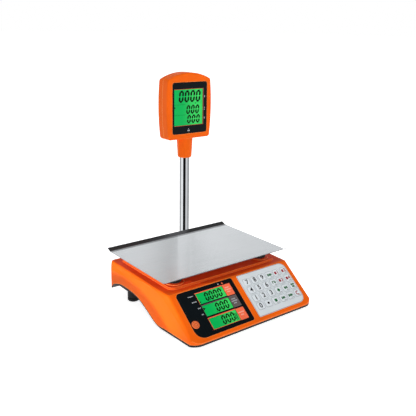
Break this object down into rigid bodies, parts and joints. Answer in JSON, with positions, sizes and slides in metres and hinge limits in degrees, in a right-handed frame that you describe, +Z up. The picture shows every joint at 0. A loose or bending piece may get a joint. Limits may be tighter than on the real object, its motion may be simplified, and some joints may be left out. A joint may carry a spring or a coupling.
{
  "type": "retail price scale",
  "caption": "Counter-top price-computing scale with a flat steel pan, sloped front panel with display and keypad, and a customer display on a pole.",
  "frame": {"origin": "on the table, at the middle of the whole scale's footprint, feet at z = 0", "axes": "+X to the operator's right, +Y from the operator's side to the back, +Z up"},
  "size_m": [0.3484, 0.372, 0.5026],
  "materials": {
    "orange_plastic": "semi-gloss moulded ABS",
    "button_plastic": "semi-gloss",
    "black_plastic": "fine texture",
    "gloss_black": "polished acrylic",
    "lcd_green": "backlit liquid crystal under clear acrylic",
    "circuit_board": "solder mask",
    "keypad_grey": "satin polyester overlay",
    "key_white": "satin",
    "silicone": "matte silicone",
    "aluminium": "machined and cast",
    "zinc_steel": "zinc plated",
    "rubber": "matte",
    "stainless": "fine brushed",
    "chrome": "polished",
    "black_paint": "powder coat",
    "cable_sheath": "matte PVC",
    "nylon": "natural nylon"
  },
  "bodies": {
    "base": {"top_housing": "orange_plastic", "base_tray": "black_plastic", "display_window": "gloss_black", "main_lcd": "lcd_green", "main_board": "circuit_board", "keypad_plate": "keypad_grey", "keypad_mat": "silicone", "keypad_board": "circuit_board", "load_cell": "aluminium", "cell_bolts": "zinc_steel", "battery": "black_plastic", "power_inlet": "black_plastic", "pole_bracket": "black_paint", "pole": "chrome", "display_cable": "cable_sheath", "body_screws": "zinc_steel"},
    "platform": {"platform_frame": "aluminium", "platform_bolts": "zinc_steel", "support_pads": "rubber"},
    "pan": {"weighing_pan": "stainless"},
    "head": {"head_front_shell": "orange_plastic", "head_rear_shell": "orange_plastic", "head_window": "gloss_black", "head_lcd": "lcd_green", "head_board": "circuit_board", "head_screws": "zinc_steel", "swivel_bush": "nylon"},
    "power_button": {"power_button": "button_plastic"},
    "key_r1_c1": {"key_r1_c1": "key_white"},
    "key_r1_c2": {"key_r1_c2": "key_white"},
    "key_r1_c3": {"key_r1_c3": "key_white"},
    "key_r1_c4": {"key_r1_c4": "key_white"},
    "key_r1_c5": {"key_r1_c5": "key_white"},
    "key_r1_c6": {"key_r1_c6": "key_white"},
    "key_r2_c1": {"key_r2_c1": "key_white"},
    "key_r2_c2": {"key_r2_c2": "key_white"},
    "key_r2_c3": {"key_r2_c3": "key_white"},
    "key_r2_c4": {"key_r2_c4": "key_white"},
    "key_r2_c5": {"key_r2_c5": "key_white"},
    "key_r2_c6": {"key_r2_c6": "key_white"},
    "key_r3_c1": {"key_r3_c1": "key_white"},
    "key_r3_c2": {"key_r3_c2": "key_white"},
    "key_r3_c3": {"key_r3_c3": "key_white"},
    "key_r3_c4": {"key_r3_c4": "key_white"},
    "key_r3_c5": {"key_r3_c5": "key_white"},
    "key_r3_c6": {"key_r3_c6": "key_white"},
    "key_r4_c1": {"key_r4_c1": "key_white"},
    "key_r4_c2": {"key_r4_c2": "key_white"},
    "key_r4_c3": {"key_r4_c3": "key_white"},
    "key_r4_c4": {"key_r4_c4": "key_white"},
    "key_r4_c5": {"key_r4_c5": "key_white"},
    "key_r4_c6": {"key_r4_c6": "key_white"},
    "foot_stud_front_left": {"foot_stud_front_left": "zinc_steel"},
    "foot_pad_front_left": {"foot_pad_front_left": "rubber"},
    "foot_stud_front_right": {"foot_stud_front_right": "zinc_steel"},
    "foot_pad_front_right": {"foot_pad_front_right": "rubber"},
    "foot_stud_back_left": {"foot_stud_back_left": "zinc_steel"},
    "foot_pad_back_left": {"foot_pad_back_left": "rubber"},
    "foot_stud_back_right": {"foot_stud_back_right": "zinc_steel"},
    "foot_pad_back_right": {"foot_pad_back_right": "rubber"}
  },
  "joints": [
    {"name": "key_r1_c1_press", "type": "slide", "parent": "base", "child": "key_r1_c1", "axis": [0, 0.6198, -0.7848], "range_m": [0, 0.001], "stiffness_N_per_m": 300},
    {"name": "key_r1_c2_press", "type": "slide", "parent": "base", "child": "key_r1_c2", "axis": [0, 0.6198, -0.7848], "range_m": [0, 0.001], "stiffness_N_per_m": 300},
    {"name": "key_r1_c3_press", "type": "slide", "parent": "base", "child": "key_r1_c3", "axis": [0, 0.6198, -0.7848], "range_m": [0, 0.001], "stiffness_N_per_m": 300},
    {"name": "key_r1_c4_press", "type": "slide", "parent": "base", "child": "key_r1_c4", "axis": [0, 0.6198, -0.7848], "range_m": [0, 0.001], "stiffness_N_per_m": 300},
    {"name": "key_r1_c5_press", "type": "slide", "parent": "base", "child": "key_r1_c5", "axis": [0, 0.6198, -0.7848], "range_m": [0, 0.001], "stiffness_N_per_m": 300},
    {"name": "key_r1_c6_press", "type": "slide", "parent": "base", "child": "key_r1_c6", "axis": [0, 0.6198, -0.7848], "range_m": [0, 0.001], "stiffness_N_per_m": 300},
    {"name": "key_r2_c1_press", "type": "slide", "parent": "base", "child": "key_r2_c1", "axis": [0, 0.6198, -0.7848], "range_m": [0, 0.001], "stiffness_N_per_m": 300},
    {"name": "key_r2_c2_press", "type": "slide", "parent": "base", "child": "key_r2_c2", "axis": [0, 0.6198, -0.7848], "range_m": [0, 0.001], "stiffness_N_per_m": 300},
    {"name": "key_r2_c3_press", "type": "slide", "parent": "base", "child": "key_r2_c3", "axis": [0, 0.6198, -0.7848], "range_m": [0, 0.001], "stiffness_N_per_m": 300},
    {"name": "key_r2_c4_press", "type": "slide", "parent": "base", "child": "key_r2_c4", "axis": [0, 0.6198, -0.7848], "range_m": [0, 0.001], "stiffness_N_per_m": 300},
    {"name": "key_r2_c5_press", "type": "slide", "parent": "base", "child": "key_r2_c5", "axis": [0, 0.6198, -0.7848], "range_m": [0, 0.001], "stiffness_N_per_m": 300},
    {"name": "key_r2_c6_press", "type": "slide", "parent": "base", "child": "key_r2_c6", "axis": [0, 0.6198, -0.7848], "range_m": [0, 0.001], "stiffness_N_per_m": 300},
    {"name": "key_r3_c1_press", "type": "slide", "parent": "base", "child": "key_r3_c1", "axis": [0, 0.6198, -0.7848], "range_m": [0, 0.001], "stiffness_N_per_m": 300},
    {"name": "key_r3_c2_press", "type": "slide", "parent": "base", "child": "key_r3_c2", "axis": [0, 0.6198, -0.7848], "range_m": [0, 0.001], "stiffness_N_per_m": 300},
    {"name": "key_r3_c3_press", "type": "slide", "parent": "base", "child": "key_r3_c3", "axis": [0, 0.6198, -0.7848], "range_m": [0, 0.001], "stiffness_N_per_m": 300},
    {"name": "key_r3_c4_press", "type": "slide", "parent": "base", "child": "key_r3_c4", "axis": [0, 0.6198, -0.7848], "range_m": [0, 0.001], "stiffness_N_per_m": 300},
    {"name": "key_r3_c5_press", "type": "slide", "parent": "base", "child": "key_r3_c5", "axis": [0, 0.6198, -0.7848], "range_m": [0, 0.001], "stiffness_N_per_m": 300},
    {"name": "key_r3_c6_press", "type": "slide", "parent": "base", "child": "key_r3_c6", "axis": [0, 0.6198, -0.7848], "range_m": [0, 0.001], "stiffness_N_per_m": 300},
    {"name": "key_r4_c1_press", "type": "slide", "parent": "base", "child": "key_r4_c1", "axis": [0, 0.6198, -0.7848], "range_m": [0, 0.001], "stiffness_N_per_m": 300},
    {"name": "key_r4_c2_press", "type": "slide", "parent": "base", "child": "key_r4_c2", "axis": [0, 0.6198, -0.7848], "range_m": [0, 0.001], "stiffness_N_per_m": 300},
    {"name": "key_r4_c3_press", "type": "slide", "parent": "base", "child": "key_r4_c3", "axis": [0, 0.6198, -0.7848], "range_m": [0, 0.001], "stiffness_N_per_m": 300},
    {"name": "key_r4_c4_press", "type": "slide", "parent": "base", "child": "key_r4_c4", "axis": [0, 0.6198, -0.7848], "range_m": [0, 0.001], "stiffness_N_per_m": 300},
    {"name": "key_r4_c5_press", "type": "slide", "parent": "base", "child": "key_r4_c5", "axis": [0, 0.6198, -0.7848], "range_m": [0, 0.001], "stiffness_N_per_m": 300},
    {"name": "key_r4_c6_press", "type": "slide", "parent": "base", "child": "key_r4_c6", "axis": [0, 0.6198, -0.7848], "range_m": [0, 0.001], "stiffness_N_per_m": 300},
    {"name": "power_button_press", "type": "slide", "parent": "base", "child": "power_button", "axis": [0, 0.6198, -0.7848], "range_m": [0, 0.0008], "stiffness_N_per_m": 400},
    {"name": "platform_deflection", "type": "slide", "parent": "base", "child": "platform", "axis": [0, 0, -1], "range_m": [0, 0.0004], "stiffness_N_per_m": 1000000},
    {"name": "pan_lift_off", "type": "slide", "parent": "platform", "child": "pan", "axis": [0, 0, 1], "range_m": [0, 0.08]},
    {"name": "head_swivel", "type": "hinge", "parent": "base", "child": "head", "pos_m": [0.0607, 0.165, 0.33], "axis": [0, 0, 1], "range_deg": [-170, 170]},
    {"name": "foot_travel_front_left", "type": "slide", "parent": "base", "child": "foot_stud_front_left", "axis": [0, 0, -1], "range_m": [0, 0.0075]},
    {"name": "foot_turn_front_left", "type": "hinge", "parent": "foot_stud_front_left", "child": "foot_pad_front_left", "pos_m": [-0.139, -0.141, 0.005], "axis": [0, 0, 1], "range_deg": [0, 2160.1]},
    {"name": "foot_travel_front_right", "type": "slide", "parent": "base", "child": "foot_stud_front_right", "axis": [0, 0, -1], "range_m": [0, 0.0075]},
    {"name": "foot_turn_front_right", "type": "hinge", "parent": "foot_stud_front_right", "child": "foot_pad_front_right", "pos_m": [0.139, -0.141, 0.005], "axis": [0, 0, 1], "range_deg": [0, 2160.1]},
    {"name": "foot_travel_back_left", "type": "slide", "parent": "base", "child": "foot_stud_back_left", "axis": [0, 0, -1], "range_m": [0, 0.0075]},
    {"name": "foot_turn_back_left", "type": "hinge", "parent": "foot_stud_back_left", "child": "foot_pad_back_left", "pos_m": [-0.139, 0.086, 0.005], "axis": [0, 0, 1], "range_deg": [0, 2160.1]},
    {"name": "foot_travel_back_right", "type": "slide", "parent": "base", "child": "foot_stud_back_right", "axis": [0, 0, -1], "range_m": [0, 0.0075]},
    {"name": "foot_turn_back_right", "type": "hinge", "parent": "foot_stud_back_right", "child": "foot_pad_back_right", "pos_m": [0.139, 0.086, 0.005], "axis": [0, 0, 1], "range_deg": [0, 2160.1]}
  ],
  "couplings": [
    {"joint": "foot_turn_front_left", "follows": "foot_travel_front_left", "rad_per_m": 5026.5},
    {"joint": "foot_turn_front_right", "follows": "foot_travel_front_right", "rad_per_m": 5026.5},
    {"joint": "foot_turn_back_left", "follows": "foot_travel_back_left", "rad_per_m": 5026.5},
    {"joint": "foot_turn_back_right", "follows": "foot_travel_back_right", "rad_per_m": 5026.5}
  ]
}
